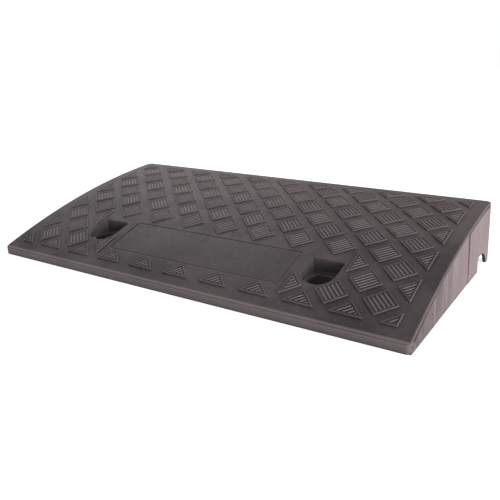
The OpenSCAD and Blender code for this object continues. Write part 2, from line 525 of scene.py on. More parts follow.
@dataclass(frozen=True)
class MouldedPolypropylene:
    """Injection-moulded polypropylene, dyed charcoal, with an eroded mould texture.

    The eye sees a matt, slightly greasy grey with a broad dull highlight, clouded by flow marks
    and by pale dust that clings to the grain.
    """

    face: str
    body: str
    cloud: str
    dust: str
    # Pale colour of rubbed edges, which also serves as painted highlight
    wear_and_highlight: str = "#8d8284"
    # Colour of the painted shade in inner corners
    corner_shade: str = "#1d1a1a"
    # Colour and reach of the painted light that grows towards the kerb
    painted_light: str = "#8a7777"
    painted_light_from: float = -60 * MM
    painted_light_to: float = 126 * MM
    roughness: float = 0.58
    dust_share: float = 0.25
    wear_and_highlight_share: float = 0.6
    corner_shade_share: float = 0.75
    painted_light_share: float = 0.3
    streak_share: float = 0.0
    edge_highlight_share: float = 0.0
    corner_shade_reach: float = 1.6 * MM
    # The real grain is about 0.1 mm and too fine to show, so it is drawn ten times coarser
    grain_size: float = 1.1 * MM
    grain_height: float = 0.05 * MM
    flow_size: float = 45 * MM
    speckle_size: float = 4 * MM
    streak_size: float = 5 * MM
    # Where the bands of painted highlight along the deck's front and end edges start and are full
    highlight_front: Point = (-122 * MM, -124.5 * MM)
    highlight_end: Point = (242.6 * MM, 244.2 * MM)

    def material(self) -> bpy.types.Material:
        """Builds the finish.

        Returns:
            The material, made once for each kind of face.
        """
        name = f"moulded_polypropylene_{self.face}"
        if name in bpy.data.materials:
            return bpy.data.materials[name]
        material = bpy.data.materials.new(name)
        tree = empty_tree(material)
        where = add_node(tree, "ShaderNodeTexCoord").outputs["Object"]
        noise = {"Vector": where, "Roughness": 0.55}
        speckle, grain = (
            add_node(tree, "ShaderNodeTexNoise", {**noise, "Scale": 1 / size, "Detail": detail})
            for size, detail in ((self.speckle_size, 4), (self.grain_size, 2))
        )
        colour = linear(self.body)
        for value, start, full, most, hue in self.layers(tree, where, speckle):
            steps = {"Value": value, "From Min": start, "From Max": full, "To Max": most}
            share = add_node(tree, "ShaderNodeMapRange", steps, interpolation_type="SMOOTHSTEP")
            mixed = add_node(tree, "ShaderNodeMix", {0: share, 6: colour, 7: linear(hue)}, data_type="RGBA")
            colour = mixed.outputs[2]
        least, most = self.roughness - 0.06, self.roughness + 0.08
        steps = {"Value": speckle, "From Min": 0.3, "From Max": 0.7, "To Min": least, "To Max": most}
        rough = add_node(tree, "ShaderNodeMapRange", steps)
        relief = {"Height": grain, "Strength": 0.6, "Distance": self.grain_height}
        bump = add_node(tree, "ShaderNodeBump", relief)
        gloss = {"Roughness": rough, "IOR": 1.49, "Specular IOR Level": 0.2}
        shader = add_node(tree, "ShaderNodeBsdfPrincipled", {"Base Color": colour, "Normal": bump, **gloss})
        add_node(tree, "ShaderNodeOutputMaterial", {"Surface": shader})
        return material

    def layers(
        self, tree: bpy.types.NodeTree, where: bpy.types.NodeSocket, speckle: bpy.types.Node
    ) -> Iterable[Layer]:
        """Adds the nodes that steer what lies on the plain plastic, from the lowest layer up.

        Args:
            tree: the node tree.
            where: the coordinates.
            speckle: blotches a few millimetres across, which break up the flat colour.

        Yields:
            A layer's steering value, where it starts and is full, its greatest share and its colour.
        """
        # Flow marks: long soft clouds left by the melt as it filled the mould
        noise = {"Vector": where, "Scale": 1 / self.flow_size, "Detail": 3, "Roughness": 0.55}
        yield add_node(tree, "ShaderNodeTexNoise", noise), 0.35, 0.65, 1.0, self.cloud
        # Dust: pale blotches where it clings to the grain
        yield speckle, 0.52, 0.8, self.dust_share, self.dust
        if self.streak_share:
            # Drag lines: upright streaks that the mould scraped as the ramp was drawn out of it
            stretch = {0: where, 1: (1.0, 1.0, 0.08)}
            noise["Vector"] = add_node(tree, "ShaderNodeVectorMath", stretch, operation="MULTIPLY")
            noise["Scale"] = 1 / self.streak_size
            yield add_node(tree, "ShaderNodeTexNoise", noise), 0.45, 0.72, self.streak_share, self.dust
        # Painted light: warmer and paler towards the kerb, a painted stand-in for light that grows towards
        # the rear
        axes = add_node(tree, "ShaderNodeSeparateXYZ", {"Vector": where}).outputs
        yield axes["Y"], self.painted_light_from, self.painted_light_to, self.painted_light_share, self.painted_light
        surface = add_node(tree, "ShaderNodeNewGeometry").outputs
        if self.edge_highlight_share:
            # Painted highlight: the upper side of the deck's front and end edges is painted pale
            outwards = add_node(tree, "ShaderNodeMath", {0: axes["X"]}, operation="ABSOLUTE")
            edges = [
                add_node(
                    tree,
                    "ShaderNodeMapRange",
                    {"Value": value, "From Min": start, "From Max": full},
                    interpolation_type="SMOOTHSTEP",
                )
                for value, (start, full) in ((axes["Y"], self.highlight_front), (outwards, self.highlight_end))
            ]
            near = add_node(tree, "ShaderNodeMath", dict(enumerate(edges)), operation="MAXIMUM")
            most = add_node(tree, "ShaderNodeMath", {0: near, 1: self.edge_highlight_share}, operation="MULTIPLY")
            upwards = add_node(tree, "ShaderNodeSeparateXYZ", {"Vector": surface["Normal"]}).outputs["Z"]
            yield upwards, 0.35, 0.8, most, self.wear_and_highlight
        # Rubbed edges and painted highlight: where a corner stands out it is painted pale, partly as wear and
        # partly as a highlight
        yield surface["Pointiness"], 0.515, 0.6, self.wear_and_highlight_share, self.wear_and_highlight
        # Painted shade: inner corners and the feet near the floor are painted dark where ambient occlusion
        # finds them
        hollow = add_node(tree, "ShaderNodeAmbientOcclusion", {"Distance": self.corner_shade_reach}, samples=4)
        yield hollow.outputs["AO"], 0.85, 0.35, self.corner_shade_share, self.corner_shade


# The deck carries painted highlights on its edges and painted light towards the kerb
DECK_FINISH = MouldedPolypropylene(
    "deck", "#332c2e", "#4b4244", "#6f6567", wear_and_highlight="#938889",
    dust_share=0.45, wear_and_highlight_share=0.8, painted_light_share=0.18, edge_highlight_share=0.5,
)
TREAD_FINISH = MouldedPolypropylene(
    "tread", "#393234", "#4a4143", "#73686a", wear_and_highlight="#8a8082", dust_share=0.4, painted_light_share=0.15
)
PANEL_FINISH = MouldedPolypropylene("panel", "#393334", "#443d3e", "#625a5b", dust_share=0.2)
# The walls are painted paler and warmer towards the kerb: painted light where they stand brighter in the side
# light
WALL_FINISH = MouldedPolypropylene(
    "wall", "#403738", "#5a4e4f", "#948586", wear_and_highlight="#8d8082", painted_light="#867677",
    painted_light_share=0.75, painted_light_from=-120 * MM, painted_light_to=60 * MM,
    dust_share=0.3, streak_share=0.6, corner_shade_reach=4.5 * MM, corner_shade_share=0.9,
)
LIP_FINISH = MouldedPolypropylene(
    "lip", "#3a3335", "#484042", "#6a6062", wear_and_highlight="#7d7274", dust_share=0.4, corner_shade_reach=3 * MM
)
# Its very pale rims, such as the crescent round the hole, are wear and painted highlight
WELL_FINISH = MouldedPolypropylene(
    "well", "#3b3738", "#433e3f", "#565052", wear_and_highlight="#b4acae", dust_share=0.15, wear_and_highlight_share=0.9, painted_light_share=0.0
)
# A slightly darker copy of the plastic, as painted shade: on the ribs and inner faces under the deck, the
# pockets' walls that face right and the notch's edges
INNER_AND_SHADE_FINISH = MouldedPolypropylene(
    "inner_face_and_painted_shade", "#2f2b2c", "#383334", "#4a4445", dust_share=0.15, painted_light_share=0.0, wear_and_highlight_share=0.2
)
# Painted shade: the floors between the ribs, the lower sides of the ribs and the feet of the pads' walls are
# painted darker
PAD_SHADE_FINISH = MouldedPolypropylene(
    "pad_floor_painted_shade", "#352e2f", "#42393a", "#655b5c", painted_light_share=0.1, wear_and_highlight_share=0.0
)
# Painted shade: a dark brown laid under the deck's edge, along the walls' upper edge and foot, and on the
# side panel's step
SHADE_LINE_FINISH = MouldedPolypropylene(
    "painted_shade_line", "#382d2d", "#40322f", "#5a4a47", dust_share=0.2, painted_light_share=0.0, wear_and_highlight_share=0.0
)


@dataclass(frozen=True)
class Ramp:
    """Sizes that the sub-assemblies share, taken from the frame where it holds them."""

    half_length: float
    curve: DeckCurve
    lip_back: float
    rear_inner: float
    pocket_x: float
    pocket_y: float
    front_corner: float = 4.5 * MM
    rear_corner: float = 6.5 * MM
    skin: float = 4 * MM
    wall: float = 3.5 * MM
    pocket_width: float = 34 * MM
    pocket_back: float = 19 * MM
    well_wall: float = 3 * MM
    tuck: float = 0.02 * MM

    @classmethod
    def from_frame(cls) -> "Ramp":
        """Reads the ramp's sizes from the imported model.

        Returns:
            The sizes.
        """
        lip_height = 9 * MM
        bulge = 10 * MM
        toe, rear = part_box("toe_deck"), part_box("rear_deck")
        curve = DeckCurve.through(Vector((toe[0].y, lip_height)), Vector((rear[1].y, rear[1].z)), bulge)
        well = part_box("right_bolt_well")
        reach = cls.pocket_width / 2 + cls.well_wall
        return cls(
            half_length=toe[1].x,
            curve=curve,
            lip_back=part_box("front_lip")[1].y,
            rear_inner=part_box("rear_wall")[0].y,
            pocket_x=well[1].x - reach,
            pocket_y=well[0].y + reach,
        )

    def stations(self) -> list[float]:
        """Finds where a sheet of the deck is creased to follow the curve.

        Returns:
            Y values, front to rear, that stay clear of every outline that runs along the kerb.
        """
        spacing, clear = 6 * MM, 3.3 * MM
        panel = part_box("centre_panel")
        busy = (
            self.curve.front_y + self.front_corner / 2,
            self.curve.rear_y - self.rear_corner / 2,
            self.pocket_y - self.pocket_width / 2,
            self.pocket_y + self.pocket_back,
            panel[0].y,
            panel[1].y,
        )
        count = int((self.curve.rear_y - self.curve.front_y) / spacing)
        values = [self.curve.front_y + i * spacing for i in range(1, count + 1)]
        return [y for y in values if all(abs(y - other) > clear for other in busy)]
    def under_skin(self, start: float, stop: float, sunk: float, spacing: float) -> list[Point]:
        """Y and Z points that follow the deck's curve inside the skin.

        Args:
            start: Y of the first point.
            stop: Y of the last point.
            sunk: depth below the deck's surface.
            spacing: distance between the points.

        Returns:
            The points.
        """
        count = max(2, round(abs(stop - start) / spacing))
        ys = [start + (stop - start) * i / count for i in range(count + 1)]
        return [(y, self.curve.z_at(y, -sunk)) for y in ys]
    def pocket(self, side: Side) -> Outline:
        """Outline of a pocket: a round front, straight sides and a flat rear with small corners.

        Args:
            side: which pocket.

        Returns:
            The outline, run anticlockwise.
        """
        x, y = side.value * self.pocket_x, self.pocket_y
        half = self.pocket_width / 2
        corner = 1.5 * MM
        rear = y + self.pocket_back - corner
        return Outline(
            arc((x, y), half, 180, 360, 28)
            + arc((x + half - corner, rear), corner, 0, 90, 4)
            + arc((x - half + corner, rear), corner, 90, 180, 4)
        )


def shade(
    piece: bpy.types.Object, finish: MouldedPolypropylene, chosen: Callable[[Vector, Vector], bool]
) -> None:
    """Gives some faces of a piece a second finish.

    Args:
        piece: the piece, already dressed in its first finish.
        finish: the second finish.
        chosen: says from a face's centre and normal whether it takes the second finish.
    """
    piece.data.materials.append(finish.material())
    last = len(piece.data.materials) - 1
    for face in piece.data.polygons:
        if chosen(face.center, face.normal):
            face.material_index = last


def dress(piece: bpy.types.Object, finish: MouldedPolypropylene, slot: str, *nodes: str) -> bpy.types.Object:
    """Gives a piece its finish and its body, and hides the CAD nodes that it stands for.

    Args:
        piece: the new object.
        finish: its finish.
        slot: the record's material slot; not used.
        nodes: the CAD nodes that it replaces.

    Returns:
        The piece.
    """
    piece.data.materials.append(finish.material())
    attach(piece, "root")
    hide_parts(*nodes)
    LOG.info("%s: %d faces", piece.name, len(piece.data.polygons))
    return piece


@dataclass
class Deck:
    """The curved skin with its two pockets, and the plain panel in its groove."""

    ramp: Ramp
    edge_radius: float = 1.1 * MM
    flange: float = 1.4 * MM
    undercut: float = 2.8 * MM
    pocket_radius: float = 1.0 * MM
    groove_width: float = 1.6 * MM
    groove_depth: float = 1.0 * MM
    groove_radius: float = 0.45 * MM
    panel_corner: float = 2.5 * MM

    def depth(self, depth: float) -> Place:
        """Placer at a depth below the deck's surface."""
        return self.ramp.curve.sheet(-depth)

    def panel_outline(self, gap: float) -> Outline:
        """Outline of the panel's recess, drawn in by a gap.

        Args:
            gap: how far it is drawn in.

        Returns:
            The outline, creased at the stations.
        """
        low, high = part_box("centre_panel")
        radius = self.panel_corner - gap / 2
        return rounded_rectangle(
            (low.x + gap, low.y + gap), (high.x - gap, high.y - gap), radius, radius
        ).split(self.ramp.stations())

    def build_skin(self) -> None:
        """Builds the skin as one plate with rounded edges, two pockets and a shallow recess."""
        ramp = self.ramp
        stations = ramp.stations()
        moulding = Moulding()
        outer = rounded_rectangle(
            (-ramp.half_length, ramp.curve.front_y),
            (ramp.half_length, ramp.curve.rear_y),
            ramp.front_corner,
            ramp.rear_corner,
            8,
        ).split(stations)
        edge = edge_section(self.depth, self.flange, self.edge_radius, 0.4 * MM)[:-1]
        edge += [(self.undercut, self.depth(depth)) for depth in (self.flange + 0.1 * MM, ramp.skin)]
        mouth_edge = edge_section(self.depth, ramp.skin, self.pocket_radius, 0)
        recess_edge = edge_section(self.depth, self.groove_depth, self.groove_radius, 0)
        rims = [moulding.rim(outer, edge)]
        rims += [moulding.rim(ramp.pocket(side).split(stations).reversed(), mouth_edge) for side in Side]
        tops, bottoms = zip(*rims)
        recess_top, recess_floor = moulding.rim(self.panel_outline(0).reversed(), recess_edge)
        moulding.cap([*tops, recess_top])
        moulding.cap([recess_floor])
        moulding.cap(bottoms)
        nodes = ("rear_deck", "toe_deck", "left_end_deck", "right_end_deck")
        skin = dress(moulding.finish("deck_skin"), DECK_FINISH, "deck", *nodes)
        mouth = ramp.pocket_x + ramp.pocket_width / 2 + MM

        def deep(centre: Vector, in_pocket: bool) -> bool:
            """Tells the faces below the flange that are, or aren't, in a pocket's mouth."""
            near = abs(centre.x) < mouth and abs(centre.y - ramp.pocket_y) < ramp.pocket_back + MM
            return near == in_pocket and centre.z < ramp.curve.z_at(centre.y, 0.05 * MM - self.flange)

        # The pocket mouths take the well's colour; painted shade: dark brown under the deck's edge, and a
        # darker colour on the pocket walls that face right
        shade(skin, SHADE_LINE_FINISH, lambda centre, _: deep(centre, False))
        shade(skin, WELL_FINISH, lambda centre, _: deep(centre, True))
        shade(skin, INNER_AND_SHADE_FINISH, lambda centre, normal: deep(centre, True) and normal.x > 0.3)

    def build_panel(self) -> None:
        """Builds the plain panel, which stands in the recess and leaves a groove all round."""
        moulding = Moulding()
        rooted = self.groove_depth + 0.5 * MM
        moulding.solid(
            self.panel_outline(self.groove_width), edge_section(self.depth, rooted, self.groove_radius, 0)
        )
        dress(moulding.finish("centre_panel_plate"), PANEL_FINISH, "panel", "centre_panel")


@dataclass
class Tread:
    """The rows of square pads that stand on their corners, with a rim and fine ribs on each."""

    ramp: Ramp
    columns: int = 10
    rows: int = 5
    end_border: float = 16 * MM
    edge_border: float = 15 * MM
    half_diagonal: float = 16.4 * MM
    height: float = 1.5 * MM
    rim_width: float = 1.5 * MM
    floor_height: float = 0.85 * MM
    corner: float = 0.5 * MM
    rib_pitch: float = 3.7 * MM
    rib_width: float = 1.6 * MM
    rib_gap: float = 0.9 * MM
    bare_columns: tuple[float, ...] = (0, 2.5, 3.25, 3.5)

    @property
    def pitch_x(self) -> float:
        """Distance between pads along the kerb."""
        return (2 * self.ramp.half_length - 2 * self.end_border) / self.columns

    @property
    def pitch_along(self) -> float:
        """Distance between pads of one kind along the curve."""
        return (self.ramp.curve.length - 2 * self.edge_border) / self.rows

    def pads(self, row: int) -> Iterable[tuple[list[Point], Point, Ribs]]:
        """Yields the pads of one row.

        Args:
            row: the row's number, from 0 at the front.

        Yields:
            The pad's corners, its centre and the direction of its ribs.
        """
        half = self.columns / 2
        first = -half if row % 2 == 0 else 0.5 - half
        bare = self.bare_columns[row] if row < len(self.bare_columns) else 0
        along = self.edge_border + row * self.pitch_along / 2
        size = self.half_diagonal
        for i in range(round(-2 * first) + 1):
            column = first + i
            place = abs(column)
            if place < bare:
                continue
            outwards = math.copysign(1.0, column)
            beside_pocket = bare > 0 and place == bare
            cut_off = {
                (0.0, -1.0): row == 0,
                (0.0, 1.0): row == 2 * self.rows,
                (outwards, 0.0): place == half,
                (-outwards, 0.0): beside_pocket,
            }
            corners = [corner for corner, is_cut in cut_off.items() if not is_cut]
            # A quarter pad, in a corner of the grid, has its third corner at the centre
            if len(corners) == 2:
                corners.append((0.0, 0.0))
            middle = [sum(values) / len(corners) for values in zip(*corners)]
            corners.sort(key=lambda c: math.atan2(c[1] - middle[1], c[0] - middle[0]))
            x = column * self.pitch_x
            forward = row % 2 == 0 or beside_pocket
            shape = [(x + cx * size, along + cy * size) for cx, cy in corners]
            yield shape, (x, along), Ribs.FORWARD if forward else Ribs.BACKWARD

    def build_row(self, row: int) -> None:
        """Builds one row of pads as one object.

        Args:
            row: the row's number, from 0 at the front.
        """
        moulding = Moulding()
        for corners, centre, ribs in self.pads(row):
            self.add_pad(moulding, corners)
            self.add_ribs(moulding, corners, centre, ribs)
        name = f"tread_row_{row + 1}"
        pads = dress(moulding.finish(f"{name}_pads"), TREAD_FINISH, "tread", name)

        def in_painted_shade(centre: Vector, _: Vector) -> bool:
            """Tells the faces painted with shade: the feet of the pads' walls, the sunken floors and the
            sides of the ribs.
            """
            lift = self.ramp.curve.lift_of(centre)
            return lift < 0.3 * MM or -0.05 * MM < lift - self.floor_height < 0.2 * MM

        shade(pads, PAD_SHADE_FINISH, in_painted_shade)

    def lifted(self, lift: float) -> Place:
        """Placer at a height above the deck."""
        return lambda x, along: self.ramp.curve.bend(x, along, lift)

    def add_pad(self, moulding: Moulding, corners: list[Point]) -> None:
        """Adds a pad's body: drafted walls, a rounded rim and a sunken floor.

        Args:
            moulding: the mesh to add to.
            corners: the pad's corners, run anticlockwise.
        """
        top, floor, rim = self.height, self.floor_height, self.rim_width
        section = [
            (0.0, -0.3 * MM),
            (0.0, 0.1 * MM),
            (0.04 * MM, 0.4 * MM),
            (0.12 * MM, top - 0.4 * MM),
            (0.2 * MM, top - 0.15 * MM),
            (0.38 * MM, top),
            (rim - 0.3 * MM, top),
            (rim - 0.1 * MM, top - 0.12 * MM),
            (rim, top - 0.35 * MM),
            (rim + 0.1 * MM, floor),
        ]
        outlines = [(round_corners(corners, inset, self.corner), lift) for inset, lift in section]
        moulding.loft([moulding.ring(points, self.lifted(lift)) for points, lift in outlines])

    def add_ribs(self, moulding: Moulding, corners: list[Point], centre: Point, ribs: Ribs) -> None:
        """Adds the ribs on a pad's floor, cut to the space inside its rim.

        Args:
            moulding: the mesh to add to.
            corners: the pad's corners, run anticlockwise.
            centre: centre of the whole pad.
            ribs: direction of the ribs.
        """
        room = Outline(corners).inset(self.rim_width + self.rib_gap)
        normal = ribs.value
        shortest = 2.2 * MM
        for i in range(-4, 5):
            offset = normal[0] * centre[0] + normal[1] * centre[1] + i * self.rib_pitch
            strip = clip(room, normal, offset - self.rib_width / 2)
            strip = clip(strip, (-normal[0], -normal[1]), -(offset + self.rib_width / 2))
            if len(strip) < 3 or spread(strip, (-normal[1], normal[0])) < shortest:
                continue
            section = [
                (0.0, self.floor_height - 0.1 * MM),
                (0.12 * MM, self.height - 0.25 * MM),
                (0.32 * MM, self.height - 0.06 * MM),
            ]
            outlines = [(Outline(strip).inset(inset), lift) for inset, lift in section]
            moulding.loft([moulding.ring(points, self.lifted(lift)) for points, lift in outlines])


def round_corners(corners: list[Point], inset: float, radius: float) -> list[Point]:
    """Draws a convex outline in and rounds its corners.

    Args:
        corners: the corners, run anticlockwise.
        inset: how far the edges move inwards.
        radius: corner radius of the outline before it is drawn in.

    Returns:
        The points, as many for every inset.
    """
    smallest = 0.12 * MM
    steps = 3
    drawn = Outline(corners).inset(inset)
    turned = max(radius - inset, smallest)
    points: list[Point] = []
    for i, corner in enumerate(drawn):
        here = Vector(corner)
        back = (Vector(drawn[i - 1]) - here).normalized()
        ahead = (Vector(drawn[(i + 1) % len(drawn)]) - here).normalized()
        half = back.angle(ahead) / 2
        centre = here + (back + ahead).normalized() * (turned / math.sin(half))
        start = here + back * (turned / math.tan(half)) - centre
        sweep = math.pi - 2 * half
        for k in range(steps + 1):
            turn = Matrix.Rotation(sweep * k / steps, 2)
            points.append(tuple(centre + turn @ start))
    return points


def clip(polygon: Sequence[Point], normal: Point, least: float) -> list[Point]:
    """Keeps the part of a convex polygon that lies at least so far along a direction.

    Args:
        polygon: the polygon's corners.
        normal: the direction.
        least: the least distance along it.

    Returns:
        The corners that remain.
    """
    kept: list[Point] = []
    for a, b in looped(polygon):
        reach_a = a[0] * normal[0] + a[1] * normal[1] - least
        reach_b = b[0] * normal[0] + b[1] * normal[1] - least
        if reach_a >= 0:
            kept.append(a)
        if reach_a * reach_b < 0:
            share = reach_a / (reach_a - reach_b)
            kept.append((a[0] + share * (b[0] - a[0]), a[1] + share * (b[1] - a[1])))
    return kept


def spread(polygon: Sequence[Point], direction: Point) -> float:
    """Length of a polygon along a direction."""
    reaches = [x * direction[0] + y * direction[1] for x, y in polygon]
    return max(reaches) - min(reaches)


@dataclass
class BoltWell:
    """A pocket's walls, its ledge, the socket below it and the seat with the anchor hole."""

    ramp: Ramp
    side: Side
    ledge_depth: float = 7.3 * MM
    socket_radius: float = 12 * MM
    anchor_radius: float = 7 * MM
    seat: float = 6 * MM
    fillet: float = 0.8 * MM

    def rays(self) -> list[float]:
        """Angles about the hole's centre at which every ring has a point.

        Returns:
            The angles in radians, in rising order.
        """
        x, y = self.side.value * self.ramp.pocket_x, self.ramp.pocket_y
        angles = [math.atan2(py - y, px - x) for px, py in self.ramp.pocket(self.side).points]
        angles += [math.atan2(py, px) for px, py in self.block().points]
        angles += [math.pi * 2 * i / 48 for i in range(48)]
        spaced: list[float] = []
        for angle in sorted(a % (2 * math.pi) for a in angles):
            if not spaced or angle - spaced[-1] > math.radians(0.8):
                spaced.append(angle)
        return spaced

    def block(self) -> Outline:
        """Outer outline of the well, about the hole's centre.

        Returns:
            The outline.
        """
        half = self.ramp.pocket_width / 2 + self.ramp.well_wall
        back = self.ramp.pocket_back + self.ramp.well_wall
        return Outline([(-half, -half), (half, -half), (half, back), (-half, back)])

    def build(self) -> None:
        """Builds the well as one closed cup."""
        ramp = self.ramp
        x, y = self.side.value * ramp.pocket_x, ramp.pocket_y
        ledge = ramp.curve.z_at(y) - self.ledge_depth
        rays = self.rays()
        mouth = Outline([(px - x, py - y) for px, py in ramp.pocket(self.side).points])
        behind = 0.05 * MM
        moulding = Moulding()

        def under_skin(px: float, py: float) -> Vector:
            """Meets the skin from below, but never lower than the ledge."""
            skin = ramp.curve.z_at(py, -ramp.skin) + 0.3 * MM
            return Vector((px, py, max(skin, ledge + self.fillet + 0.2 * MM)))

        def shaped(outline: Outline, inset: float, place: Place) -> list:
            """Adds a ring where rays from the hole's centre meet an outline."""
            flat = [cast(outline.inset(inset), angle) for angle in rays]
            return moulding.ring([(x + px, y + py) for px, py in flat], place)

        def round_ring(radius: float, z: float) -> list:
            """Adds a ring on a circle about the hole's centre."""
            flat = [(x + radius * math.cos(a), y + radius * math.sin(a)) for a in rays]
            return moulding.ring(flat, level(z))

        fillet, wall = self.fillet, ramp.well_wall
        socket, anchor, seat = self.socket_radius, self.anchor_radius, self.seat
        foot = ledge - wall
        bends = [(fillet * out, fillet * down) for out, down in quarter_bends()]
        profile = [
            *((socket + out, ledge - down) for out, down in bends),
            (socket - 0.1 * MM, seat + 0.5 * MM),
            (socket - 0.5 * MM, seat),
            (anchor + 0.5 * MM, seat),
            (anchor, seat - 0.5 * MM),
            (anchor, 0.5 * MM),
            (anchor + 0.5 * MM, 0.0),
            (socket + wall - 0.5 * MM, 0.0),
            (socket + wall, 0.5 * MM),
            (socket + wall, foot),
        ]
        rings = [
            shaped(mouth, -behind, under_skin),
            *(shaped(mouth, down - behind, level(ledge + out)) for out, down in bends),
            *(round_ring(radius, z) for radius, z in profile),
            shaped(self.block(), 0.4 * MM, level(foot)),
            shaped(self.block(), 0.0, level(foot + 0.4 * MM)),
            shaped(self.block(), 0.0, ramp.curve.sheet(-ramp.skin + 0.3 * MM)),
        ]
        moulding.bands([*rings, rings[0]])
        name = f"{self.side.word}_bolt_well"
        cup = dress(moulding.finish(f"{name}_cup"), WELL_FINISH, "bolt_well", name)
        # Painted shade: the cup's walls above the ledge that face right take a darker colour
        shade(cup, INNER_AND_SHADE_FINISH, lambda centre, normal: centre.z > ledge + fillet and normal.x > 0.3)


def cast(outline: Sequence[Point], angle: float) -> Point:
    """Point where a ray from the origin meets an outline that surrounds it.

    Args:
        outline: the outline's points.
        angle: the ray's angle in radians.

    Returns:
        The meeting point.
    """
    dx, dy = math.cos(angle), math.sin(angle)
    best = 0.0
    for (ax, ay), (bx, by) in looped(outline):
        ex, ey = bx - ax, by - ay
        across = dx * ey - dy * ex
        if abs(across) < 1e-12:
            continue
        reach = (ax * ey - ay * ex) / across
        share = (ax * dy - ay * dx) / across
        if reach > 0 and -1e-6 <= share <= 1 + 1e-6:
            best = max(best, reach)
    return (dx * best, dy * best)


@dataclass(frozen=True)
class LongWall:
    """Plan of the wall under the front or the rear edge, with a short arm round each corner."""

    half_x: float
    end_y: float
    radius: float
    rearwards: int
    thickness: float
    arm: float

    def corner(self) -> tuple[list[Point], list[Point]]:
        """Outer and inner points of the right corner, from the end of its arm to the long stretch.

        Returns:
            The outer points and the inner ones.
        """
        x, y = self.half_x - self.radius, self.end_y - self.rearwards * self.radius
        outer, inner = (
            [(x + reach, y - self.rearwards * self.arm), *arc((x, y), reach, 0, self.rearwards * 90, steps)]
            for reach, steps in ((self.radius, 8), (self.radius - self.thickness, 4))
        )
        return outer, inner

    def whole(self) -> Outline:
        """Outline of the whole wall, run anticlockwise.

        Returns:
            The outline.
        """
        outer, inner = self.corner()
        points = [*outer, *mirrored(outer)[::-1], *mirrored(inner), *inner[::-1]]
        return Outline(points[:: self.rearwards])

    def leg(self, side: Side) -> Outline:
        """Outline of one corner with an arm both ways, run anticlockwise.

        Args:
            side: which corner.

        Returns:
            The outline.
        """
        outer, inner = self.corner()
        x = self.half_x - self.radius - self.arm
        points = [*outer, (x, outer[-1][1]), (x, inner[-1][1]), *inner[::-1]]
        return Outline(points if side is Side.RIGHT else mirrored(points)[::-1])


